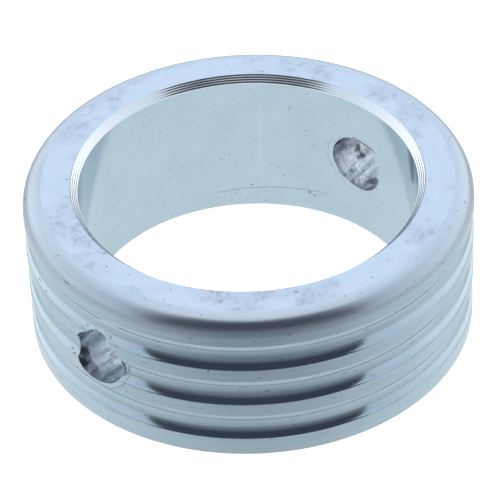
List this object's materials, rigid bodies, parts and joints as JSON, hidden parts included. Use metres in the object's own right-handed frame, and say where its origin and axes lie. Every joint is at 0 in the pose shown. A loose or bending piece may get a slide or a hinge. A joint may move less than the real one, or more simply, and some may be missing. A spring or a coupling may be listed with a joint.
{
  "type": "shaft collar",
  "caption": "One-piece shaft collar: a plated steel ring with a plain bore, shallow round grooves round its outside and a plain cross hole through both walls for a pin or bolt.",
  "frame": {"origin": "centre of the bottom face, on the bore axis", "axes": "+Z along the bore axis, towards the chamfered and rounded end; +X along the cross hole"},
  "size_m": [0.06, 0.06, 0.0222],
  "materials": {
    "zinc_plated_steel": "turned steel with bright, faintly blue zinc plate, satin; bare bright metal inside the cross hole"
  },
  "bodies": {
    "root": {"collar_ring": "zinc_plated_steel"}
  },
  "joints": []
}
